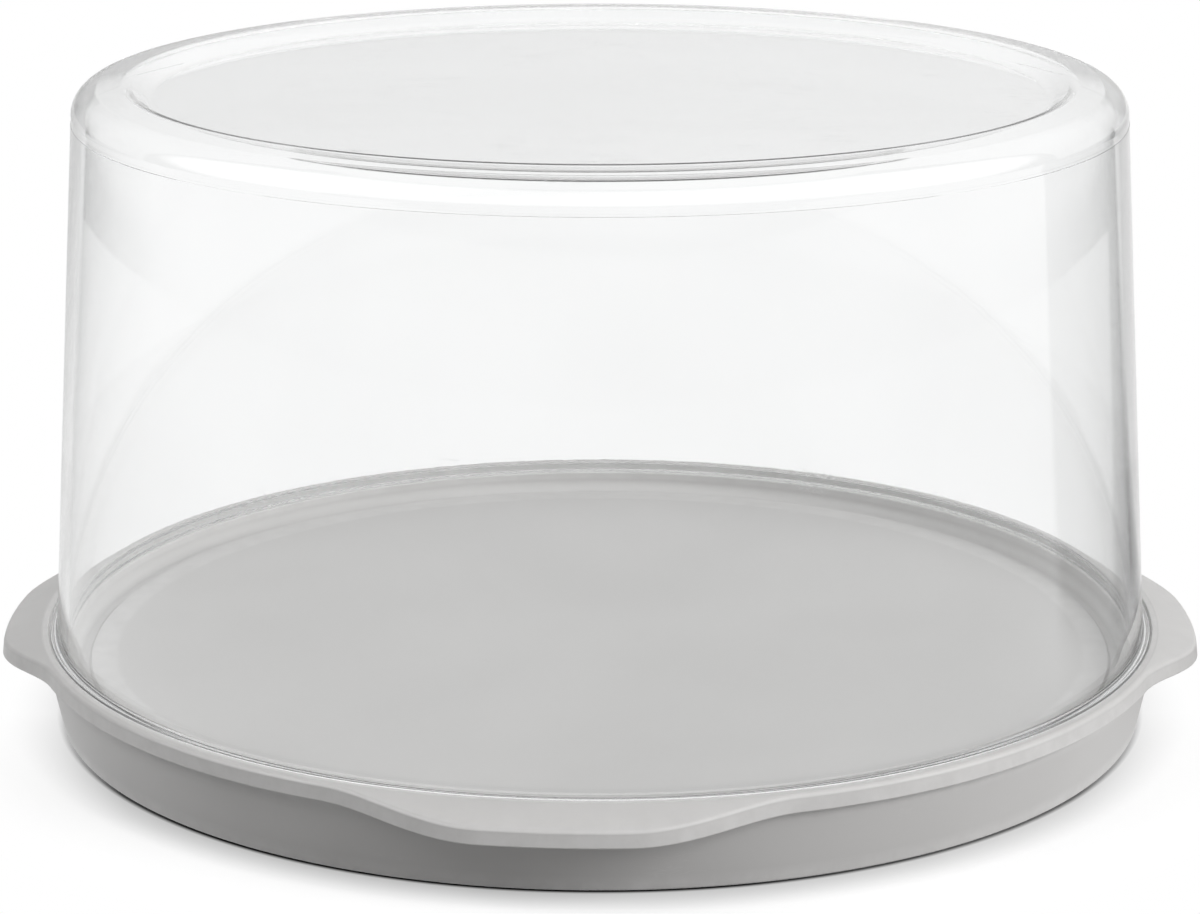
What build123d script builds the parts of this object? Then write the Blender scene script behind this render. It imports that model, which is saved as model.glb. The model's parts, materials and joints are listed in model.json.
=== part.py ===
# Round pie container: a grey moulded tray with four tab handles, and a clear one-piece cover
# that stands in the tray and lifts straight off.
# Millimetres, +Z up. The origin is on the surface that the tray stands on, under its centre.
# +X is to the right and -Y is to the front.

import os
from math import atan2, cos, radians, sin, tan

from build123d import *

# Cover
cover_wall = 2.8
top_wall = 1.6                     # thinner wall of the ring and the sunken top
cover_foot_radius = 150.6          # outside of the wall where it meets the flange
wall_lean = 8.9                    # how far the wall leans in, from its foot up to the shoulder line
cover_height = 152.8               # from the cover's foot to the highest ring
shoulder_drop = 10.0               # from the highest ring down to the shoulder line
crest_rise = 2.0                   # slope of the land from the shoulder in to the crest
shoulder_round = 7.0
ring_width = 15.2                  # from the shoulder in to the sunken top
recess_depth = 4.2
recess_draft = 5.5                 # how far the slope of the recess runs in, down to its floor
crest_round = 4.0
recess_foot_round = 4.0
flange_reach = 2.0                 # how far the flange stands out from the wall
flange_thickness = 2.4
flange_edge_round = 0.7
flange_root_round = 1.2
foot_edge_round = 0.4              # inside edge of the cover's foot

# Fit of the cover in the tray
flange_gap = 0.4                   # all round, between the flange and the tray's rim

# Tray
rim_height = 24.6                  # from the table to the top of the rim
rim_land = 1.9                     # flat part of the rim's top
rim_width = 3.7                    # whole width of the rim, from its inner face to its edge
rim_thickness = 4.4                # height of the rim's edge band
rim_slope = 17.3                   # fall of the rim and the handles, in degrees
band_top_round = 1.3
band_under_round = 0.4
ledge_width = 5.8                  # from the rim's inner face in to the wall of the well
floor_depth = 7.4                  # from the top of the rim to the floor
floor_thickness = 2.4
channel_width = 5.8                # from the wall of the well in to the floor disc
floor_disc_raise = 0.6             # the floor disc stands above the channel round it
disc_edge_round = 0.3
cove_radius = 3.0
ledge_edge_round = 0.5
skirt_wall = 2.2
skirt_inset = 2.6                  # from the rim's edge in to the skirt
skirt_taper = 4.2                  # how far the skirt leans in, from the rim down to the table
skirt_foot_round = 0.8
skirt_inner_foot_round = 0.5
skirt_root_round = 1.5             # inside corner of the skirt and the floor
rim_root_round = 0.8

# Handles
handle_reach = 9.1                 # how far a handle stands out past the rim
handle_half_span = 22.0            # degrees from the middle of a handle to its end
handle_flat_span = 6.5             # degrees from the middle to where the end curve starts
side_handle_turn = -0.6            # turn of the left and right handles, in degrees
front_handle_turn = -3.9           # turn of the front and rear handles, in degrees

# Sizes that follow from the ones above
cover_shoulder_radius = cover_foot_radius - wall_lean
recess_radius = cover_shoulder_radius - ring_width
flange_radius = cover_foot_radius + flange_reach
rim_inner_radius = flange_radius + flange_gap
rim_land_radius = rim_inner_radius + rim_land
rim_radius = rim_inner_radius + rim_width
handle_radius = rim_radius + handle_reach
well_radius = rim_inner_radius - ledge_width
floor_disc_radius = well_radius - channel_width
skirt_top_radius = rim_radius - skirt_inset
skirt_foot_radius = skirt_top_radius - skirt_taper
ledge_height = rim_height - flange_thickness
floor_height = rim_height - floor_depth
channel_height = floor_height - floor_disc_raise
floor_underside = channel_height - floor_thickness
rim_underside = rim_height - rim_thickness
crest_height = ledge_height + cover_height
shoulder_height = crest_height - shoulder_drop
shoulder_top = crest_height - crest_rise
recess_height = crest_height - recess_depth
recess_slope = atan2(recess_depth, recess_draft)
under_shift = top_wall * tan(recess_slope / 2)      # keeps the wall even where it turns down and back
rim_fall = tan(radians(rim_slope))
band_radius = handle_radius + handle_reach          # turned band before the handles are cut out of it
band_drop = rim_fall * (band_radius - rim_land_radius)
handle_angles = [
    side_handle_turn,
    90 + front_handle_turn,
    180 + side_handle_turn,
    270 + front_handle_turn,
]
next_handle_angles = handle_angles[1:] + [360 + side_handle_turn]


def on_circle(radius, degrees):
    """Point on a circle about the origin."""
    return (radius * cos(radians(degrees)), radius * sin(radians(degrees)))


def along_circle(degrees):
    """Direction of travel round the origin at an angle."""
    return (-sin(radians(degrees)), cos(radians(degrees)))


def distance_out(point):
    """Distance of a point from the upright centre line."""
    return Vector(point.X, point.Y, 0).length


def on_outline(edge):
    """True for an edge that runs along the outline of the rim and the handles."""
    upright = edge.geom_type == GeomType.LINE
    return not upright and distance_out(edge @ 0.5) > (rim_land_radius + rim_radius) / 2


def above_band_middle(edge):
    """True for an edge above the middle of the sloping band."""
    middle = edge @ 0.5
    fall = rim_fall * (distance_out(middle) - rim_land_radius)
    return middle.Z > rim_height - rim_thickness / 2 - fall


# Tray body: floor disc, channel, well wall, ledge and skirt in one turned section.
# Each corner of a section is its radius from the centre line, its height and its rounding.
tray_section = [
    ((0, floor_height), 0),
    ((floor_disc_radius, floor_height), disc_edge_round),
    ((floor_disc_radius + floor_disc_raise, channel_height), disc_edge_round),
    ((well_radius, channel_height), cove_radius),
    ((well_radius, ledge_height), ledge_edge_round),
    ((rim_land_radius, ledge_height), 0),
    ((rim_land_radius, rim_underside), 0),
    ((skirt_top_radius, rim_underside), rim_root_round),
    ((skirt_foot_radius, 0), skirt_foot_round),
    ((skirt_foot_radius - skirt_wall, 0), skirt_inner_foot_round),
    ((skirt_top_radius - skirt_wall, floor_underside), skirt_root_round),
    ((0, floor_underside), 0),
]
with BuildPart() as body:
    with BuildSketch(Plane.XZ):
        with BuildLine():
            FilletPolyline(
                [point for point, corner in tray_section],
                radius=[corner for point, corner in tray_section],
                close=True,
            )
        make_face()
    revolve(axis=Axis.Z)

# Rim and handles: one sloping band turned about the centre, cut to the outline with four tabs
with BuildPart() as rim:
    with BuildSketch(Plane.XZ):
        with BuildLine():
            Polyline(
                (rim_inner_radius, rim_height),
                (rim_land_radius, rim_height),
                (band_radius, rim_height - band_drop),
                (band_radius, rim_underside - band_drop),
                (rim_land_radius, rim_underside),
                (rim_inner_radius, rim_underside),
                close=True,
            )
        make_face()
    revolve(axis=Axis.Z)
    with BuildSketch(Plane.XY.offset(rim_underside - band_drop)):
        with BuildLine():
            for angle, next_angle in zip(handle_angles, next_handle_angles):
                tip_start = angle - handle_flat_span
                tip_end = angle + handle_flat_span
                handle_start = angle - handle_half_span
                handle_end = angle + handle_half_span
                next_start = next_angle - handle_half_span
                Spline(
                    on_circle(rim_radius, handle_start),
                    on_circle(handle_radius, tip_start),
                    tangents=[along_circle(handle_start), along_circle(tip_start)],
                )
                CenterArc((0, 0), handle_radius, tip_start, 2 * handle_flat_span)
                Spline(
                    on_circle(handle_radius, tip_end),
                    on_circle(rim_radius, handle_end),
                    tangents=[along_circle(tip_end), along_circle(handle_end)],
                )
                CenterArc((0, 0), rim_radius, handle_end, next_start - handle_end)
        make_face()
    extrude(amount=rim_thickness + band_drop, mode=Mode.INTERSECT)
    band_edges = rim.edges().filter_by(on_outline)
    fillet(band_edges.filter_by(above_band_middle), radius=band_top_round)
    band_edges = rim.edges().filter_by(on_outline)
    fillet(band_edges.filter_by(above_band_middle, reverse=True), radius=band_under_round)

with BuildPart() as tray:
    add(body.part)
    add(rim.part)

tray.part.label = "tray"

# Cover: clear wall, rounded shoulder, raised ring, sunken top with a soft slope, and the foot flange
cover_section = [
    ((0, recess_height), 0),
    ((recess_radius - recess_draft, recess_height), recess_foot_round),
    ((recess_radius, crest_height), crest_round),
    ((cover_shoulder_radius, shoulder_top), shoulder_round),
    ((cover_shoulder_radius, shoulder_height), 0),
    ((cover_foot_radius, ledge_height + flange_thickness), flange_root_round),
    ((flange_radius, ledge_height + flange_thickness), flange_edge_round),
    ((flange_radius, ledge_height), flange_edge_round),
    ((cover_foot_radius - cover_wall, ledge_height), foot_edge_round),
    ((cover_shoulder_radius - cover_wall, shoulder_height), 0),
    ((cover_shoulder_radius - cover_wall, shoulder_top - top_wall), shoulder_round - top_wall),
    ((recess_radius + under_shift, crest_height - top_wall), crest_round - top_wall),
    ((recess_radius - recess_draft + under_shift, recess_height - top_wall), recess_foot_round + top_wall),
    ((0, recess_height - top_wall), 0),
]
with BuildPart() as cover:
    with BuildSketch(Plane.XZ):
        with BuildLine():
            FilletPolyline(
                [point for point, corner in cover_section],
                radius=[corner for point, corner in cover_section],
                close=True,
            )
        make_face()
    revolve(axis=Axis.Z)

cover.part.label = "cover"

os.makedirs("parts", exist_ok=True)
export_step(tray.part, "parts/tray.step")
export_step(cover.part, "parts/cover.step")
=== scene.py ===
"""Looks of a round pie container: a grey moulded tray with four handles and a clear cover.

Both pieces are closed skins: a section of straight stretches and arcs is carried once round the
upright axis. Lengths are in metres, +Z is up, and the origin is on the surface that the tray
stands on, under its centre.
"""

import json
from math import atan2, ceil, cos, pi, radians, sin, tan

import bpy
import numpy as np
from bpy.props import FloatProperty, FloatVectorProperty, PointerProperty
from bpy.types import Operator, Panel, PropertyGroup
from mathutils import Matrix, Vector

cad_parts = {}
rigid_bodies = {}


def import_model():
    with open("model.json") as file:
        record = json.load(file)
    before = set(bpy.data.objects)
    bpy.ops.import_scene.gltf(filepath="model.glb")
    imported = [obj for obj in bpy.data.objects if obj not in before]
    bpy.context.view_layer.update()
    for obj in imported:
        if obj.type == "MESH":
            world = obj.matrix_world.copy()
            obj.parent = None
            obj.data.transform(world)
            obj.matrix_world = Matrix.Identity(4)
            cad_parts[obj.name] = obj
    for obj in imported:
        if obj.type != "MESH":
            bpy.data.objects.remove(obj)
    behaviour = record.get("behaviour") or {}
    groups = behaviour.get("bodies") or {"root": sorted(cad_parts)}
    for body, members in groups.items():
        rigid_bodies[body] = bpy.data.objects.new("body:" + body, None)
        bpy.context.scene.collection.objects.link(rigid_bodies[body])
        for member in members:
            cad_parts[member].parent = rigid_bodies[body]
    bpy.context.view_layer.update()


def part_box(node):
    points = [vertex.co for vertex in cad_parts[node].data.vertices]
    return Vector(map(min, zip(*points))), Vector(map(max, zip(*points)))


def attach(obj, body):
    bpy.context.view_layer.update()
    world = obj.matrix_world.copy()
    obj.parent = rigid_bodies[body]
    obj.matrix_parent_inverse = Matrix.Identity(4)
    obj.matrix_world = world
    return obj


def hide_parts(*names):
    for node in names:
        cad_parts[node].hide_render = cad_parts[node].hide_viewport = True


bl_info = {
    "name": "Pie container",
    "version": (1, 0, 0),
    "blender": (4, 5, 0),
    "location": "3D View > Sidebar > Pie container",
    "description": "Builds a moulded tray with four handles, its clear cover and a plain studio",
    "category": "Object",
}

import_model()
TRAY_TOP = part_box("tray")[1].z
COVER_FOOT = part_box("cover")[0].z

# Finish of the meshes
TURN_STEPS = 576                   # steps round the upright axis
ARC_TURN = radians(11)             # most that an arc turns from one point of a section to the next
CELL = 0.009                       # longest cell of a straight stretch
MILLIMETRE = 0.001


def length(name, description, default):
    """A size in metres that the sidebar shows as a length."""
    return FloatProperty(
        name=name, description=description, default=default, min=0.0, unit="LENGTH", precision=4
    )


def angle(name, description, default):
    """An angle, given in degrees and kept in radians."""
    return FloatProperty(name=name, description=description, default=radians(default), unit="ROTATION")


def share(name, description, default, most=1.0):
    """A plain number from 0 to most."""
    return FloatProperty(name=name, description=description, default=default, min=0.0, max=most)


def colour(name, description, default):
    """A linear colour."""
    return FloatVectorProperty(
        name=name, description=description, default=default, subtype="COLOR", min=0.0, max=1.0
    )


class PieContainerTraySettings(PropertyGroup):
    """Sizes and finish of the tray."""

    rim_height: length("Rim height", "From the table to the top of the rim", TRAY_TOP)
    rim_land: length("Rim land", "Flat part of the rim's top", 0.0019)
    rim_inner_radius: length("Rim inner radius", "Inner face of the rim", 0.1530)
    rim_width: length("Rim width", "From the rim's inner face to its edge", 0.0037)
    rim_thickness: length("Rim thickness", "Height of the rim's edge band", 0.0044)
    rim_slope: angle("Rim slope", "Fall of the rim and the handles", 17.3)
    band_draft: length("Band draft", "How far the edge band leans in from its foot to its top", 0.0005)
    ledge_drop: length("Ledge drop", "From the top of the rim down to the ledge", 0.0024)
    ledge_width: length("Ledge width", "From the rim's inner face in to the wall of the well", 0.0058)
    floor_depth: length("Floor depth", "From the top of the rim to the floor disc", 0.0074)
    floor_thickness: length("Floor thickness", "Thickness of the floor", 0.0024)
    channel_width: length("Channel width", "From the wall of the well in to the floor disc", 0.0058)
    disc_raise: length("Disc raise", "Height of the floor disc above the channel", 0.0006)
    skirt_wall: length("Skirt wall", "Thickness of the skirt", 0.0022)
    skirt_inset: length("Skirt inset", "From the rim's edge in to the skirt", 0.0026)
    skirt_taper: length("Skirt taper", "How far the skirt leans in down to the table", 0.0042)
    handle_reach: length("Handle reach", "How far a handle stands out past the rim", 0.0091)
    handle_half_span: angle("Handle half span", "From the middle of a handle to its end", 22.0)
    handle_flat_span: angle("Handle flat span", "From the middle to where the end curve starts", 6.5)
    side_turn: angle("Side handle turn", "Turn of the left and right handles", -0.6)
    front_turn: angle("Front handle turn", "Turn of the front and rear handles", -3.9)
    body_colour: colour("Colour", "Colour of the grey plastic", (0.560, 0.552, 0.545))
    # Lighter colour along tight edges and scratches: partly rubbed wear, partly a painted highlight on the
    # roundings.
    worn_and_highlight_colour: colour("Worn colour", "Colour along rubbed edges", (0.660, 0.652, 0.645))
    roughness: share("Roughness", "Roughness of the satin surface", 0.36)


class PieContainerCoverSettings(PropertyGroup):
    """Sizes and finish of the cover."""

    foot_height: length("Foot height", "From the table to the cover's foot", COVER_FOOT)
    height: length("Height", "From the foot to the highest ring", 0.1528)
    wall: length("Wall", "Thickness of the wall", 0.0028)
    top_wall: length("Top wall", "Thickness of the ring and the sunken top", 0.0016)
    foot_radius: length("Foot radius", "Outside of the wall where it meets the flange", 0.1506)
    wall_lean: length("Wall lean", "How far the wall leans in up to the shoulder line", 0.0089)
    shoulder_drop: length("Shoulder drop", "From the highest ring down to the shoulder line", 0.0100)
    crest_rise: length("Crest rise", "Slope of the land from the shoulder in to the crest", 0.0020)
    ring_width: length("Ring width", "From the shoulder in to the sunken top", 0.0152)
    recess_depth: length("Recess depth", "Depth of the sunken top", 0.0042)
    recess_draft: length("Recess draft", "How far the slope of the recess runs in, down to its floor", 0.0055)
    flange_reach: length("Flange reach", "How far the flange stands out from the wall", 0.0020)
    flange_thickness: length("Flange thickness", "Height of the flange", 0.0024)
    body_colour: colour("Colour", "What each surface lets through", (0.985, 0.988, 0.988))
    edge_colour: colour("Slanting colour", "What a surface lets through at a slant", (0.930, 0.934, 0.934))
    roughness: share("Roughness", "Roughness of the polished surface", 0.012)
    leak: share("Leak", "Share of light inside the wall that leaves at each turn", 0.5)


class PieContainerStageSettings(PropertyGroup):
    """Light, floor and camera."""

    lens: FloatProperty(name="Lens", description="Focal length in millimetres", default=110.475, min=1.0)
    distance: length("Distance", "From the upright axis to the camera", 0.9833)
    eye_height: length("Eye height", "Height of the camera above the floor", 0.33995)
    pitch: angle("Pitch", "How far the camera looks down", 15.468)
    key: share("Key light", "Light from the right", 0.84, 4.0)
    fill: share("Fill light", "Light from the left", 0.38, 4.0)
    top: share("Top light", "Light from above", 0.15, 4.0)
    ambient: share("Ambient light", "Light from all round on rough surfaces", 0.22, 4.0)
    room: share("Room", "How bright the room is in reflections", 0.70, 4.0)
    front: share("Front softbox", "How bright the front softbox is in reflections", 3.0, 20.0)


def unit(vectors):
    """Vectors of length 1 along the last axis."""
    return vectors / np.linalg.norm(vectors, axis=-1, keepdims=True)


def section_line(corners, rounds):
    """Line through corners, with each corner swept by an arc, at every angle at once.

    corners is (angles, corners, 2), the radius and height of each corner, and rounds gives each
    corner's arc radius. With u and v the unit directions from a corner to its neighbours and h
    half the angle between them, an arc of radius r starts and ends r / tan(h) from the corner and
    has its centre r / sin(h) along the bisector. Its points turn evenly from one end to the other.
    Gives the points and the directions of travel, as (angles, points, 2), and how tight each
    point's arc is, in arcs per millimetre of radius.
    """
    points = [corners[:, 0]]
    travel = [unit(corners[:, 1] - corners[:, 0])]
    tight = [0.0]
    last = corners.shape[1] - 1
    for k in range(1, last + 1):
        if k < last:
            back = unit(corners[:, k - 1] - corners[:, k])
            ahead = unit(corners[:, k + 1] - corners[:, k])
            half = np.arccos(np.sum(back * ahead, axis=-1, keepdims=True)) / 2
            start = corners[:, k] + back * rounds[k] / np.tan(half)
            centre = corners[:, k] + unit(back + ahead) * rounds[k] / np.sin(half)
            end = corners[:, k] + ahead * rounds[k] / np.tan(half)
        else:
            start = corners[:, k]
        # Straight stretch up to the arc, in cells of even length
        begin = points[-1]
        run = np.linalg.norm(start - begin, axis=-1).mean()
        for part in np.linspace(0, 1, ceil(run / CELL) + 1)[1:-1]:
            points.append(begin + (start - begin) * part)
            travel.append(unit(start - begin))
            tight.append(0.0)
        if k == last:
            points.append(start)
            travel.append(unit(start - begin))
            tight.append(0.0)
            break
        # Arc, turned evenly from its start to its end
        turn = pi - 2 * half
        steps = max(2, ceil(turn.mean() / ARC_TURN))
        for part in np.linspace(0, 1, steps + 1):
            first = np.sin((1 - part) * turn) / np.sin(turn)
            second = np.sin(part * turn) / np.sin(turn)
            points.append(centre + first * (start - centre) + second * (end - centre))
            travel.append(unit(-first * back + second * ahead))
            tight.append(MILLIMETRE / rounds[k])
    return np.stack(points, axis=1), np.stack(travel, axis=1), np.array(tight)


def turned_skin(name, angles, corners, rounds):
    """Closed skin of a section carried round the upright axis, which may change with the angle.

    The section's point at angle a, radius r and height z goes to (r cos a, r sin a, z). The
    section starts on the axis on top and ends on it below, so each end is one vertex. A vertex
    normal is the direction of travel along the section crossed with the one round the axis,
    (r' cos a - r sin a, r' sin a + r cos a, z'), where ' is the change with the angle.
    """
    points, travel, tight = section_line(corners, rounds)
    radius = points[:, 1:-1, 0]
    height = points[:, 1:-1, 1]
    turns, rows = radius.shape
    out = np.stack((np.cos(angles), np.sin(angles), 0 * angles), axis=-1)[:, None]
    across = np.stack((-np.sin(angles), np.cos(angles), 0 * angles), axis=-1)[:, None]
    up = np.array((0.0, 0.0, 1.0))
    places = out * radius[..., None] + up * height[..., None]
    grow = (np.roll(points, -1, axis=0) - np.roll(points, 1, axis=0)) * turns / (4 * pi)
    round_axis = out * grow[:, 1:-1, :1] + across * radius[..., None] + up * grow[:, 1:-1, 1:]
    along = out * travel[:, 1:-1, :1] + up * travel[:, 1:-1, 1:]
    normals = unit(np.cross(along, round_axis))
    top = up * points[0, 0, 1]
    bottom = up * points[0, -1, 1]
    vertices = np.concatenate((top[None], places.reshape(-1, 3), bottom[None]))
    vertex_normals = np.concatenate((up[None], normals.reshape(-1, 3), -up[None]))

    # Cell (i, j) lies between angles i and i + 1 and between points j and j + 1
    i = np.arange(turns)[:, None]
    j = np.arange(rows - 1)[None]
    here = 1 + i * rows + j
    beside = 1 + (i + 1) % turns * rows + j
    quads = np.stack((here, here + 1, beside + 1, beside), axis=-1).reshape(-1, 4)
    first = 1 + np.arange(turns) * rows
    next_first = np.roll(first, -1)
    upper = np.stack((0 * first, first, next_first), axis=-1)
    lower = np.stack((0 * first + len(vertices) - 1, next_first + rows - 1, first + rows - 1), axis=-1)
    fans = np.concatenate((upper, lower))

    mesh = bpy.data.meshes.new(name)
    mesh.vertices.add(len(vertices))
    mesh.vertices.foreach_set("co", vertices.ravel())
    mesh.loops.add(quads.size + fans.size)
    mesh.loops.foreach_set("vertex_index", np.concatenate((quads.ravel(), fans.ravel())))
    mesh.polygons.add(len(quads) + len(fans))
    starts = np.concatenate((np.arange(len(quads)) * 4, quads.size + np.arange(len(fans)) * 3))
    mesh.polygons.foreach_set("loop_start", starts)
    mesh.update(calc_edges=True)
    mesh.shade_smooth()
    mesh.normals_split_custom_set_from_vertices(vertex_normals)
    edge = mesh.attributes.new("edge", "FLOAT", "POINT")
    edge_of_row = np.tile(tight[1:-1], turns)
    edge.data.foreach_set("value", np.concatenate(((0.0,), edge_of_row, (0.0,))))
    skin = bpy.data.objects.new(name, mesh)
    bpy.context.scene.collection.objects.link(skin)
    return skin


def steps_round():
    """Angles of the steps round the upright axis."""
    return np.arange(TURN_STEPS) * 2 * pi / TURN_STEPS


def same_all_round(corners, angles):
    """One section's corners, repeated at every angle."""
    return np.repeat(np.array(corners, float)[None], len(angles), axis=0)


def handle_edge(tray, angles):
    """Radius of the tray's edge at each angle.

    It is the rim's radius plus the handle's reach times s * s * (3 - 2 s), where s goes from 0 at
    a handle's end to 1 where its middle part starts, by the angle to the nearest handle's middle.
    """
    side = tray.side_turn
    front = tray.front_turn
    middles = np.array([side, pi / 2 + front, pi + side, -pi / 2 + front])
    away = np.abs((angles[:, None] - middles + pi) % (2 * pi) - pi).min(axis=1)
    s = np.clip((tray.handle_half_span - away) / (tray.handle_half_span - tray.handle_flat_span), 0, 1)
    return tray.rim_inner_radius + tray.rim_width + tray.handle_reach * s * s * (3 - 2 * s)


def tray_section(tray, angles):
    """Corners and arc radii of the tray's section, from the middle of its floor round to its underside."""
    rim = tray.rim_height
    under_rim = rim - tray.rim_thickness
    ledge = rim - tray.ledge_drop
    floor = rim - tray.floor_depth
    channel = floor - tray.disc_raise
    underside = channel - tray.floor_thickness
    land = tray.rim_inner_radius + tray.rim_land
    well = tray.rim_inner_radius - tray.ledge_width
    disc = well - tray.channel_width
    skirt_top = tray.rim_inner_radius + tray.rim_width - tray.skirt_inset
    skirt_foot = skirt_top - tray.skirt_taper
    rows = (
        ((0.0, floor), 0.0),
        ((disc, floor), 0.0003),
        ((disc + tray.disc_raise, channel), 0.0003),
        ((well, channel), 0.0030),
        ((well, ledge), 0.0005),
        ((tray.rim_inner_radius, ledge), 0.0002),
        ((tray.rim_inner_radius, rim), 0.0003),
        ((land, rim), 0.0020),
        ((land, rim), 0.0013),
        ((land, under_rim), 0.0004),
        ((land, under_rim), 0.0020),
        ((skirt_top, under_rim), 0.0008),
        ((skirt_foot, 0.0), 0.0008),
        ((skirt_foot - tray.skirt_wall, 0.0), 0.0005),
        ((skirt_top - tray.skirt_wall, underside), 0.0015),
        ((0.0, underside), 0.0),
    )
    top_edge = 8
    under_edge = 9
    corners = same_all_round([corner for corner, _ in rows], angles)
    edge = handle_edge(tray, angles)
    fall = tan(tray.rim_slope) * (edge - land)
    draft = tray.band_draft
    corners[:, top_edge] = np.stack((edge - draft, rim - fall + tan(tray.rim_slope) * draft), axis=-1)
    corners[:, under_edge] = np.stack((edge, under_rim - fall), axis=-1)
    return corners, [radius for _, radius in rows]


def cover_section(cover, angles):
    """Corners and arc radii of the cover's section, from the middle of its top round to its inside."""
    rest = cover.foot_height
    foot = rest + 0.00005              # clear of the ledge by a hair, so that they share no plane
    flange = rest + cover.flange_thickness
    crest = rest + cover.height
    shoulder_line = crest - cover.shoulder_drop
    shoulder_top = crest - cover.crest_rise
    top = crest - cover.recess_depth
    shoulder = cover.foot_radius - cover.wall_lean
    recess = shoulder - cover.ring_width
    recess_foot = recess - cover.recess_draft
    wall = cover.wall
    top_wall = cover.top_wall
    under_shift = top_wall * tan(atan2(cover.recess_depth, cover.recess_draft) / 2)
    lean_back = 0.00012                # step of the mould line at the shoulder
    shoulder_round = 0.0070
    soft = 0.0040                      # both bends of the recess
    rows = (
        ((0.0, top), 0.0),
        ((recess_foot, top), soft),
        ((recess, crest), soft),
        ((shoulder - lean_back, shoulder_top), shoulder_round),
        ((shoulder - lean_back, shoulder_line), 0.0001),
        ((shoulder, shoulder_line - lean_back), 0.0001),
        ((cover.foot_radius, flange), 0.0012),
        ((cover.foot_radius + cover.flange_reach, flange), 0.0007),
        ((cover.foot_radius + cover.flange_reach, foot), 0.0007),
        ((cover.foot_radius - wall, foot), 0.0004),
        ((shoulder - wall, shoulder_line), 0.0200),
        ((shoulder - wall, shoulder_top - top_wall), shoulder_round - top_wall),
        ((recess + under_shift, crest - top_wall), soft - top_wall),
        ((recess_foot + under_shift, top - top_wall), soft + top_wall),
        ((0.0, top - top_wall), 0.0),
    )
    return same_all_round([corner for corner, _ in rows], angles), [radius for _, radius in rows]


class Nodes:
    """Adds nodes to one node tree and joins them."""

    def __init__(self, tree):
        """Starts with an empty tree."""
        self.tree = tree
        tree.nodes.clear()

    def add(self, kind, values=(), **settings):
        """One node, with its settings and the values or links of its inputs."""
        node = self.tree.nodes.new(kind)
        for name, value in settings.items():
            setattr(node, name, value)
        for socket, value in dict(values).items():
            if isinstance(value, bpy.types.NodeSocket):
                self.tree.links.new(value, node.inputs[socket])
            else:
                node.inputs[socket].default_value = value
        return node

    def math(self, operation, first, second=0.5, clamp=False):
        """Result of a sum on two values."""
        node = self.add("ShaderNodeMath", {0: first, 1: second}, operation=operation, use_clamp=clamp)
        return node.outputs[0]

    def between(self, value, low, high, to_low=0.0, to_high=1.0):
        """Value taken from one range to another and kept inside it."""
        node = self.add("ShaderNodeMapRange", {0: value, 1: low, 2: high, 3: to_low, 4: to_high})
        return node.outputs[0]

    def noise(self, place, size, detail=2.0, rough=0.5):
        """Cloudy values whose lumps are about size across."""
        values = {"Vector": place, "Scale": 1 / size, "Detail": detail, "Roughness": rough}
        return self.add("ShaderNodeTexNoise", values).outputs["Fac"]

    def blend(self, share_of_second, first, second):
        """Colour between two colours."""
        values = {0: share_of_second, 6: first, 7: second}
        return self.add("ShaderNodeMix", values, data_type="RGBA").outputs[2]


def effect(name, inputs, outputs):
    """Empty node group with named inputs, as (name, kind, value), and outputs, as (name, kind)."""
    tree = bpy.data.node_groups.new(name, "ShaderNodeTree")
    nodes = Nodes(tree)
    for label, kind, value in inputs:
        socket = tree.interface.new_socket(label, in_out="INPUT", socket_type=kind)
        if value is not None:
            socket.default_value = value
    for label, kind in outputs:
        tree.interface.new_socket(label, in_out="OUTPUT", socket_type=kind)
    return nodes, nodes.add("NodeGroupInput").outputs, nodes.add("NodeGroupOutput").inputs


def mould_surface():
    """Group: what a mould leaves on plastic, as a height of fine grain on slow waves, and a cloudy mask."""
    nodes, given, result = effect(
        "Mould surface",
        (
            ("Place", "NodeSocketVector", None),
            ("Grain size", "NodeSocketFloat", 0.0006),
            ("Wave size", "NodeSocketFloat", 0.03),
            ("Grain share", "NodeSocketFloat", 0.5),
        ),
        (("Height", "NodeSocketFloat"), ("Cloud", "NodeSocketFloat")),
    )
    grain_scale = nodes.math("DIVIDE", 1.0, given["Grain size"])
    wave_scale = nodes.math("DIVIDE", 1.0, given["Wave size"])
    grain_values = {"Vector": given["Place"], "Scale": grain_scale, "Detail": 2.0, "Roughness": 0.6}
    wave_values = {"Vector": given["Place"], "Scale": wave_scale, "Detail": 1.0, "Roughness": 0.4}
    grain = nodes.add("ShaderNodeTexNoise", grain_values).outputs["Fac"]
    wave = nodes.add("ShaderNodeTexNoise", wave_values).outputs["Fac"]
    grain_part = nodes.math("MULTIPLY", grain, given["Grain share"])
    wave_part = nodes.math("MULTIPLY", wave, nodes.math("SUBTRACT", 1.0, given["Grain share"]))
    nodes.tree.links.new(nodes.math("ADD", grain_part, wave_part), result["Height"])
    nodes.tree.links.new(nodes.between(wave, 0.3, 0.7), result["Cloud"])
    return nodes.tree


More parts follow.
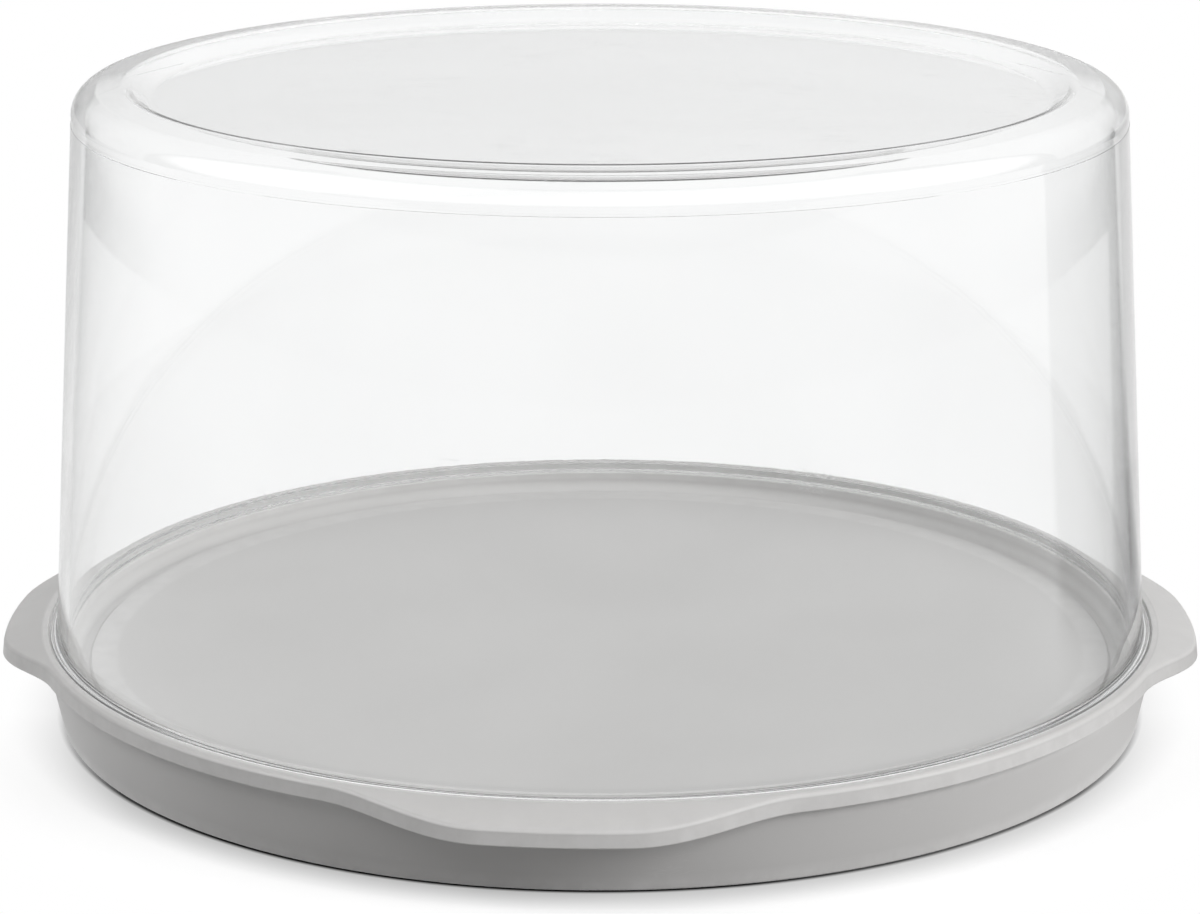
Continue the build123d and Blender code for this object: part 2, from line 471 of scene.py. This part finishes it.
def handling_marks():
    """Group: masks of fine scratches and of faint smudges, as a wiped and handled surface has.

    A scratch is where stretched noise passes its middle value, which leaves thin bent lines, kept
    only in patches.
    """
    nodes, given, result = effect(
        "Handling marks",
        (
            ("Place", "NodeSocketVector", None),
            ("Scratch length", "NodeSocketFloat", 0.05),
            ("Scratch width", "NodeSocketFloat", 0.012),
            ("Smudge size", "NodeSocketFloat", 0.04),
        ),
        (("Scratches", "NodeSocketFloat"), ("Smudges", "NodeSocketFloat")),
    )
    lines = []
    for turn, stretch in ((0.5, 9.0), (-0.9, 7.0)):
        mapping = nodes.add(
            "ShaderNodeMapping",
            {"Vector": given["Place"], "Rotation": (0.3 * turn, 0.2, turn), "Scale": (1.0, stretch, stretch)},
        )
        scale = nodes.math("DIVIDE", 1.0, given["Scratch length"])
        values = {"Vector": mapping.outputs[0], "Scale": scale, "Detail": 3.0, "Roughness": 0.6}
        wander = nodes.add("ShaderNodeTexNoise", values).outputs["Fac"]
        off_middle = nodes.math("ABSOLUTE", nodes.math("SUBTRACT", wander, 0.5))
        lines.append(nodes.math("LESS_THAN", off_middle, nodes.math("MULTIPLY", given["Scratch width"], 0.5)))
    patches = nodes.noise(given["Place"], 0.02, 1.0)
    kept = nodes.between(patches, 0.52, 0.66)
    scratches = nodes.math("MULTIPLY", nodes.math("MAXIMUM", lines[0], lines[1]), kept)
    smudge_scale = nodes.math("DIVIDE", 1.0, given["Smudge size"])
    smudge_values = {"Vector": given["Place"], "Scale": smudge_scale, "Detail": 4.0, "Roughness": 0.62}
    smudge = nodes.add("ShaderNodeTexNoise", smudge_values).outputs["Fac"]
    nodes.tree.links.new(scratches, result["Scratches"])
    nodes.tree.links.new(nodes.between(smudge, 0.46, 0.72), result["Smudges"])
    return nodes.tree


def edge_wear_and_highlight():
    """Group: mask of rubbed edges on tight roundings, which also serves as a painted highlight line along
    them, from the mesh's edge attribute broken up by fine noise.
    """
    nodes, given, result = effect(
        "Edge wear and highlight",
        (
            ("Place", "NodeSocketVector", None),
            ("Edge", "NodeSocketFloat", 0.0),
            ("Least", "NodeSocketFloat", 0.6),
            ("Most", "NodeSocketFloat", 1.4),
        ),
        (("Mask", "NodeSocketFloat"),),
    )
    near = nodes.add(
        "ShaderNodeMapRange", {0: given["Edge"], 1: given["Least"], 2: given["Most"], 3: 0.0, 4: 1.0}
    ).outputs[0]
    rubbed = nodes.between(nodes.noise(given["Place"], 0.006, 3.0, 0.6), 0.35, 0.65, 0.35, 1.0)
    nodes.tree.links.new(nodes.math("MULTIPLY", near, rubbed, clamp=True), result["Mask"])
    return nodes.tree


def shared(make):
    """The node group that make builds, built once."""
    name = {mould_surface: "Mould surface", handling_marks: "Handling marks", edge_wear_and_highlight: "Edge wear and highlight"}[make]
    return bpy.data.node_groups.get(name) or make()


def fresh_material(name):
    """A new material of that name, in place of an old one."""
    old = bpy.data.materials.get(name)
    if old:
        bpy.data.materials.remove(old)
    material = bpy.data.materials.new(name)
    material.use_nodes = True
    return material


def satin_plastic(tray):
    """Grey moulded plastic: fine grain, faint colour clouds, lighter edges and a few scratches. The lighter
    edges are partly rubbed wear and partly a painted highlight line along tight roundings, such as the rim's
    top edge.
    """
    material = fresh_material("Grey satin plastic")
    nodes = Nodes(material.node_tree)
    place = nodes.add("ShaderNodeTexCoord").outputs["Object"]
    edge = nodes.add("ShaderNodeAttribute", attribute_name="edge").outputs["Fac"]
    mould = nodes.add("ShaderNodeGroup", node_tree=shared(mould_surface))
    nodes.tree.links.new(place, mould.inputs["Place"])
    mould.inputs["Grain size"].default_value = 0.00055
    mould.inputs["Wave size"].default_value = 0.035
    mould.inputs["Grain share"].default_value = 0.35
    marks = nodes.add("ShaderNodeGroup", node_tree=shared(handling_marks))
    nodes.tree.links.new(place, marks.inputs["Place"])
    marks.inputs["Scratch length"].default_value = 0.045
    marks.inputs["Scratch width"].default_value = 0.010
    marks.inputs["Smudge size"].default_value = 0.05
    # Edge mask for a lighter colour on tight roundings: partly rubbed wear, partly a painted highlight line
    # along the rim's top edge.
    wear_and_highlight = nodes.add("ShaderNodeGroup", node_tree=shared(edge_wear_and_highlight))
    nodes.tree.links.new(place, wear_and_highlight.inputs["Place"])
    nodes.tree.links.new(edge, wear_and_highlight.inputs["Edge"])
    wear_and_highlight.inputs["Least"].default_value = 0.5
    wear_and_highlight.inputs["Most"].default_value = 1.0

    body = (*tray.body_colour, 1.0)
    cloudy = tuple(part * 0.955 for part in tray.body_colour) + (1.0,)
    clouded = nodes.blend(nodes.math("MULTIPLY", mould.outputs["Cloud"], 0.8), body, cloudy)
    scratch_share = nodes.math("MULTIPLY", marks.outputs["Scratches"], 0.22)
    # Share of the lighter colour on edges: partly wear, partly painted highlight.
    wear_and_highlight_share = nodes.math("MULTIPLY", wear_and_highlight.outputs["Mask"], 0.6)
    lighter = nodes.math("MAXIMUM", scratch_share, wear_and_highlight_share)
    base = nodes.blend(lighter, clouded, (*tray.worn_and_highlight_colour, 1.0))
    smudged = nodes.math("MULTIPLY", marks.outputs["Smudges"], 0.05)
    scratched = nodes.math("MULTIPLY", marks.outputs["Scratches"], 0.10)
    polished = nodes.math("MULTIPLY", wear_and_highlight.outputs["Mask"], -0.06)
    marked = nodes.math("ADD", smudged, scratched)
    rough = nodes.math("ADD", marked, nodes.math("ADD", polished, tray.roughness))
    bump = nodes.add(
        "ShaderNodeBump",
        {"Strength": 0.30, "Distance": 0.00009, "Height": mould.outputs["Height"]},
    )
    shader = nodes.add(
        "ShaderNodeBsdfPrincipled",
        {"Base Color": base, "Roughness": rough, "IOR": 1.49, "Normal": bump.outputs[0]},
    )
    nodes.add("ShaderNodeOutputMaterial", {"Surface": shader.outputs[0]})
    return material


def clear_plastic(cover):
    """Clear polished plastic that lamps shine through, with slow waves from the mould and faint marks."""
    material = fresh_material("Clear plastic")
    nodes = Nodes(material.node_tree)
    place = nodes.add("ShaderNodeTexCoord").outputs["Object"]
    mould = nodes.add("ShaderNodeGroup", node_tree=shared(mould_surface))
    nodes.tree.links.new(place, mould.inputs["Place"])
    mould.inputs["Grain size"].default_value = 0.004
    mould.inputs["Wave size"].default_value = 0.045
    mould.inputs["Grain share"].default_value = 0.04
    marks = nodes.add("ShaderNodeGroup", node_tree=shared(handling_marks))
    nodes.tree.links.new(place, marks.inputs["Place"])
    marks.inputs["Scratch length"].default_value = 0.06
    marks.inputs["Scratch width"].default_value = 0.006
    marks.inputs["Smudge size"].default_value = 0.05

    body = (*cover.body_colour, 1.0)
    hazed = tuple(part * 0.985 for part in cover.body_colour) + (1.0,)
    facing = nodes.add("ShaderNodeLayerWeight", {"Blend": 0.5}).outputs["Facing"]
    slanting = nodes.between(facing, 0.45, 0.90)
    tint = nodes.blend(slanting, nodes.blend(mould.outputs["Cloud"], body, hazed), (*cover.edge_colour, 1.0))
    smudged = nodes.math("MULTIPLY", marks.outputs["Smudges"], 0.02)
    scratched = nodes.math("MULTIPLY", marks.outputs["Scratches"], 0.10)
    rough = nodes.math("ADD", nodes.math("ADD", smudged, scratched), cover.roughness)
    bump = nodes.add(
        "ShaderNodeBump",
        {"Strength": 0.12, "Distance": 0.0004, "Height": mould.outputs["Height"]},
    )
    shader = nodes.add(
        "ShaderNodeBsdfPrincipled",
        {
            "Base Color": tint,
            "Roughness": rough,
            "IOR": 1.49,
            "Transmission Weight": 1.0,
            "Normal": bump.outputs[0],
        },
    )
    rays = nodes.add("ShaderNodeLightPath").outputs
    open_way = nodes.add("ShaderNodeBsdfTransparent", {"Color": (0.965, 0.968, 0.968, 1.0)}).outputs[0]

    # A share of the light that runs along inside the wall leaks out at each turn. At the shoulder and
    # the ring this holds on the sides and behind only.
    inside = nodes.add("ShaderNodeNewGeometry").outputs["Backfacing"]
    parts = nodes.add("ShaderNodeSeparateXYZ", {0: place}).outputs
    height = parts[2]
    above_foot = nodes.between(height, 0.03, 0.05, 0.0, cover.leak)
    higher_behind = nodes.between(parts[1], -0.07, -0.03, 0.0, 0.03)
    below_shoulder = nodes.between(nodes.math("SUBTRACT", height, higher_behind), 0.150, 0.160, 1.0, 0.0)
    share_out = nodes.math("MULTIPLY", inside, nodes.math("MULTIPLY", above_foot, below_shoulder))
    leak = nodes.add("ShaderNodeMixShader", {0: share_out, 1: shader.outputs[0], 2: open_way})
    within = nodes.add(
        "ShaderNodeMixShader",
        {0: rays["Is Reflection Ray"], 1: shader.outputs[0], 2: leak.outputs[0]},
    )
    bounced = nodes.add("ShaderNodeMixShader", {0: rays["Is Diffuse Ray"], 1: within.outputs[0], 2: open_way})
    surface = nodes.add("ShaderNodeMixShader", {0: rays["Is Shadow Ray"], 1: bounced.outputs[0], 2: open_way})
    nodes.add("ShaderNodeOutputMaterial", {"Surface": surface.outputs[0]})
    return material


def floor_material():
    """White to the eye and through the cover, with the real shadow kept and a painted contact shadow along
    the tray's foot, darkest in front.

    In reflections it is a painted reflection, white in front and grey behind, and where it only bounces light
    it is grey.
    These levels by place are set for the view from the front.
    """
    material = fresh_material("Floor")
    nodes = Nodes(material.node_tree)
    place = nodes.add("ShaderNodeTexCoord").outputs["Object"]
    parts = nodes.add("ShaderNodeSeparateXYZ", {0: place}).outputs
    squares = nodes.math("ADD", nodes.math("POWER", parts[0], 2.0), nodes.math("POWER", parts[1], 2.0))
    away = nodes.math("SQRT", squares)
    rays = nodes.add("ShaderNodeLightPath").outputs
    bounce = nodes.add("ShaderNodeBsdfDiffuse", {"Color": (0.30, 0.30, 0.30, 1.0)})
    lit = nodes.add("ShaderNodeBsdfDiffuse", {"Color": (0.44, 0.44, 0.44, 1.0)})
    glow = nodes.add("ShaderNodeEmission", {"Color": (1.0, 1.0, 1.0, 1.0), "Strength": 0.62})
    white = nodes.add("ShaderNodeEmission", {"Color": (1.0, 1.0, 1.0, 1.0), "Strength": 1.0})
    open_floor = nodes.add("ShaderNodeAddShader", {0: lit.outputs[0], 1: glow.outputs[0]})
    # Painted contact shadow round the tray's foot: a dark floor colour, darkest in front and lighter towards
    # the sides and the right.
    toward_sides = nodes.between(parts[1], -0.11, -0.02, 0.02, 0.30)
    toward_right = nodes.between(parts[0], 0.03, 0.13, 0.02, 0.22)
    contact_shadow_tone = nodes.math("MAXIMUM", toward_sides, toward_right)
    painted_contact_shadow = nodes.add("ShaderNodeBsdfDiffuse", {"Color": contact_shadow_tone})
    # Share of open floor: none up to 0.1502 m from the middle, where the painted shadow is full, then 0.62 at
    # 0.1516 m, rising to all of it at 0.164 m.
    painted_shadow_fade = nodes.math(
        "MULTIPLY", nodes.between(away, 0.1502, 0.1516), nodes.between(away, 0.1516, 0.164, 0.62, 1.0)
    )
    near = nodes.add(
        "ShaderNodeMixShader",
        {0: painted_shadow_fade, 1: painted_contact_shadow.outputs[0], 2: open_floor.outputs[0]},
    )
    beyond = nodes.between(parts[1], -0.10, -0.02, 0.0, 0.03)      # the shadow is narrow at the sides
    far = nodes.between(nodes.math("ADD", away, beyond), 0.156, 0.195)
    seen = nodes.add("ShaderNodeMixShader", {0: far, 1: near.outputs[0], 2: white.outputs[0]})

    # Painted reflection: the floor in reflections is an emission whose strength is set by place. The line
    # between white and grey runs back from the front on both sides, crisp at the right
    side = nodes.math("MULTIPLY", nodes.math("ABSOLUTE", parts[0]), 0.31)
    behind = nodes.math("SUBTRACT", parts[1], side)
    reach = nodes.between(parts[0], -0.3, 0.3, 0.30, -0.11)
    wide = nodes.math("ADD", nodes.math("MULTIPLY", parts[1], 0.77), 0.10)
    past = nodes.math("SUBTRACT", nodes.math("ABSOLUTE", parts[0]), wide)
    beside = nodes.between(past, 0.0, 0.045, nodes.between(parts[0], -0.3, 0.3, 0.33, 0.05), 1.0)
    grey = nodes.between(parts[0], -0.3, 0.3, 0.75, 0.9)
    dark = nodes.math("MULTIPLY", nodes.math("MULTIPLY", nodes.between(behind, -0.13, reach), beside), grey)
    shade = nodes.math("SUBTRACT", 1.0, dark)
    painted_reflection = nodes.add("ShaderNodeEmission", {"Color": (1.0, 1.0, 1.0, 1.0), "Strength": shade})
    glossy = nodes.add(
        "ShaderNodeMixShader",
        {0: rays["Is Reflection Ray"], 1: seen.outputs[0], 2: painted_reflection.outputs[0]},
    )
    surface = nodes.add(
        "ShaderNodeMixShader",
        {0: rays["Is Diffuse Ray"], 1: glossy.outputs[0], 2: bounce.outputs[0]},
    )
    nodes.add("ShaderNodeOutputMaterial", {"Surface": surface.outputs[0]})
    return material


def build_world(stage):
    """White round the camera's view, a grey room in reflections, and a plain level on rough surfaces."""
    world = bpy.data.worlds.new("Studio")
    world.use_nodes = True
    nodes = Nodes(world.node_tree)
    direction = nodes.add("ShaderNodeTexCoord").outputs["Generated"]
    parts = nodes.add("ShaderNodeSeparateXYZ", {0: direction}).outputs
    rays = nodes.add("ShaderNodeLightPath").outputs
    low = nodes.between(parts[2], 0.0, 0.15, 0.95, 1.0)
    high = nodes.between(parts[2], 0.20, 0.50, 0.0, 0.5)
    side = nodes.between(parts[0], -0.35, 0.05, 0.82, 1.0)
    room = nodes.math("MULTIPLY", nodes.math("ADD", low, high), nodes.math("MULTIPLY", side, stage.room))
    white = nodes.math("MAXIMUM", rays["Is Camera Ray"], rays["Is Transmission Ray"])
    other_rays = {0: rays["Is Glossy Ray"], 2: stage.ambient, 3: room}
    seen = nodes.add("ShaderNodeMix", other_rays, data_type="FLOAT").outputs[0]
    strength = nodes.add("ShaderNodeMix", {0: white, 2: seen, 3: 1.0}, data_type="FLOAT").outputs[0]
    background = nodes.add("ShaderNodeBackground", {"Color": (1.0, 1.0, 1.0, 1.0), "Strength": strength})
    nodes.add("ShaderNodeOutputWorld", {"Surface": background.outputs[0]})
    bpy.context.scene.world = world


def softbox(name, azimuth, elevation, distance, width, height, level):
    """Area lamp that faces the object and gives level times pi of light on a face turned to it.

    A lamp of power P and area A shines P / (pi A) each way, so a face at distance d gets about
    P / (pi d d) of it, and P is level times the square of pi d.
    """
    lamp = bpy.data.lights.new(name, "AREA")
    lamp.shape = "RECTANGLE"
    lamp.size = width
    lamp.size_y = height
    lamp.energy = level * (pi * distance) ** 2
    holder = bpy.data.objects.new(name, lamp)
    bpy.context.scene.collection.objects.link(holder)
    flat = cos(elevation) * distance
    target_height = 0.06
    holder.location = (sin(azimuth) * flat, -cos(azimuth) * flat, sin(elevation) * distance + target_height)
    holder.rotation_euler = (pi / 2 - elevation, 0.0, azimuth)
    return holder


def glow_material(strength):
    """Light of a softbox: full in its middle and soft towards its rim, by the surface's own attribute."""
    material = fresh_material("Softbox glow")
    nodes = Nodes(material.node_tree)
    inside = nodes.add("ShaderNodeAttribute", attribute_name="inside").outputs["Fac"]
    soft = nodes.between(inside, 0.0, 0.30)
    glow = nodes.add("ShaderNodeEmission", {"Strength": nodes.math("MULTIPLY", soft, strength)})
    nodes.add("ShaderNodeOutputMaterial", {"Surface": glow.outputs[0]})
    return material


def build_front_softbox(strength):
    """Curved softbox in front, seen only in reflections: part of a sphere about the object.

    Azimuth a and elevation e on a grid go to d (cos e sin a, -cos e cos a, sin e). The attribute
    is how far inside its rounded rim a point lies: 1 in the middle and 0 on the rim.
    """
    distance = 1.9
    reach = radians(108)
    low = radians(-2)
    high = radians(62)
    a, e = np.meshgrid(np.linspace(-reach, reach, 97), np.linspace(low, high, 33))
    places = distance * np.stack((np.cos(e) * np.sin(a), -np.cos(e) * np.cos(a), np.sin(e)), axis=-1)
    half_high = (high - low) / 2
    across = np.maximum(np.abs(a) - (reach - half_high), 0) / half_high
    upright = (e - (low + high) / 2) / half_high
    inside = np.clip(1 - np.hypot(across, upright), 0, 1)
    rows, columns = a.shape
    row, column = np.meshgrid(np.arange(rows - 1), np.arange(columns - 1), indexing="ij")
    corner = (row * columns + column).ravel()
    faces = np.stack((corner, corner + columns, corner + columns + 1, corner + 1), axis=-1)
    mesh = bpy.data.meshes.new("front_softbox")
    mesh.from_pydata(places.reshape(-1, 3).tolist(), [], faces.tolist())
    mesh.attributes.new("inside", "FLOAT", "POINT").data.foreach_set("value", inside.ravel())
    softbox_card = bpy.data.objects.new("front_softbox", mesh)
    bpy.context.scene.collection.objects.link(softbox_card)
    softbox_card.data.materials.append(glow_material(strength))
    softbox_card.visible_camera = False
    softbox_card.visible_diffuse = False
    softbox_card.visible_transmission = False
    softbox_card.visible_shadow = False


def build_floor():
    """Flat floor: a grid of x and y over a square, at a height of zero."""
    half = 3.0
    drop = -0.00005
    side = np.linspace(-half, half, 13)
    x, y = np.meshgrid(side, side)
    vertices = np.stack((x.ravel(), y.ravel(), np.full(x.size, drop)), axis=-1)
    count = len(side)
    row, column = np.meshgrid(np.arange(count - 1), np.arange(count - 1), indexing="ij")
    corner = (row * count + column).ravel()
    faces = np.stack((corner, corner + 1, corner + count + 1, corner + count), axis=-1)
    mesh = bpy.data.meshes.new("floor")
    mesh.from_pydata(vertices.tolist(), [], faces.tolist())
    floor = bpy.data.objects.new("floor", mesh)
    bpy.context.scene.collection.objects.link(floor)
    floor.data.materials.append(floor_material())


def build_camera(stage):
    """Camera in front of the object, above it and looking down at it."""
    data = bpy.data.cameras.new("camera")
    data.lens = stage.lens
    data.sensor_width = 36.0
    camera = bpy.data.objects.new("camera", data)
    bpy.context.scene.collection.objects.link(camera)
    camera.location = (0.0, -stage.distance, stage.eye_height)
    camera.rotation_euler = (pi / 2 - stage.pitch, 0.0, 0.0)
    bpy.context.scene.camera = camera


class PIECONTAINER_OT_tray(Operator):
    """Build the grey tray with its four handles"""

    bl_idname = "pie_container.tray"
    bl_label = "Tray"

    def execute(self, context):
        """Makes the tray's skin and its material."""
        tray = context.scene.pie_container_tray
        angles = steps_round()
        skin = turned_skin("grey_tray", angles, *tray_section(tray, angles))
        skin.data.materials.append(satin_plastic(tray))
        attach(skin, "tray")
        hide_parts("tray")
        return {"FINISHED"}


class PIECONTAINER_OT_cover(Operator):
    """Build the clear cover with its shoulder, sunken top and flange"""

    bl_idname = "pie_container.cover"
    bl_label = "Cover"

    def execute(self, context):
        """Makes the cover's skin and its material."""
        cover = context.scene.pie_container_cover
        angles = steps_round()
        skin = turned_skin("clear_cover", angles, *cover_section(cover, angles))
        skin.data.materials.append(clear_plastic(cover))
        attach(skin, "cover")
        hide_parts("cover")
        return {"FINISHED"}


class PIECONTAINER_OT_stage(Operator):
    """Build the floor, the light and the camera"""

    bl_idname = "pie_container.stage"
    bl_label = "Stage"

    def execute(self, context):
        """Makes everything that isn't part of the object."""
        stage = context.scene.pie_container_stage
        build_floor()
        build_world(stage)
        softbox("key", radians(65), radians(26), 3.4, 2.0, 1.5, stage.key)
        softbox("fill", radians(-80), radians(41), 2.6, 1.6, 1.2, stage.fill)
        softbox("top", 0.0, radians(90), 2.4, 1.8, 1.8, stage.top)
        build_front_softbox(stage.front)
        for holder in bpy.context.scene.objects:
            if holder.type == "LIGHT":
                holder.visible_glossy = False
                holder.visible_transmission = False
        build_camera(stage)
        bpy.context.scene.view_settings.view_transform = "Standard"
        return {"FINISHED"}


class PIECONTAINER_PT_panel(Panel):
    """Sizes, colours and light of the pie container."""

    bl_idname = "PIECONTAINER_PT_panel"
    bl_label = "Pie container"
    bl_space_type = "VIEW_3D"
    bl_region_type = "UI"
    bl_category = "Pie container"

    def draw(self, context):
        """Lists each group's values under the button that builds from them."""
        for operator, settings in OPERATORS:
            box = self.layout.box()
            box.operator(operator.bl_idname)
            group = getattr(context.scene, settings)
            for name in group.__annotations__:
                box.prop(group, name)


OPERATORS = (
    (PIECONTAINER_OT_tray, "pie_container_tray"),
    (PIECONTAINER_OT_cover, "pie_container_cover"),
    (PIECONTAINER_OT_stage, "pie_container_stage"),
)
SETTINGS = (
    ("pie_container_tray", PieContainerTraySettings),
    ("pie_container_cover", PieContainerCoverSettings),
    ("pie_container_stage", PieContainerStageSettings),
)


def register():
    """Registers the classes and puts the settings on the scene."""
    for name, group in SETTINGS:
        bpy.utils.register_class(group)
        setattr(bpy.types.Scene, name, PointerProperty(type=group))
    for operator, _ in OPERATORS:
        bpy.utils.register_class(operator)
    bpy.utils.register_class(PIECONTAINER_PT_panel)


def unregister():
    """Takes away what register added."""
    bpy.utils.unregister_class(PIECONTAINER_PT_panel)
    for operator, _ in reversed(OPERATORS):
        bpy.utils.unregister_class(operator)
    for name, group in reversed(SETTINGS):
        delattr(bpy.types.Scene, name)
        bpy.utils.unregister_class(group)


def main():
    """Builds the tray, the cover and the stage."""
    register()
    bpy.ops.pie_container.tray()
    bpy.ops.pie_container.cover()
    bpy.ops.pie_container.stage()


if __name__ == "__main__":
    main()
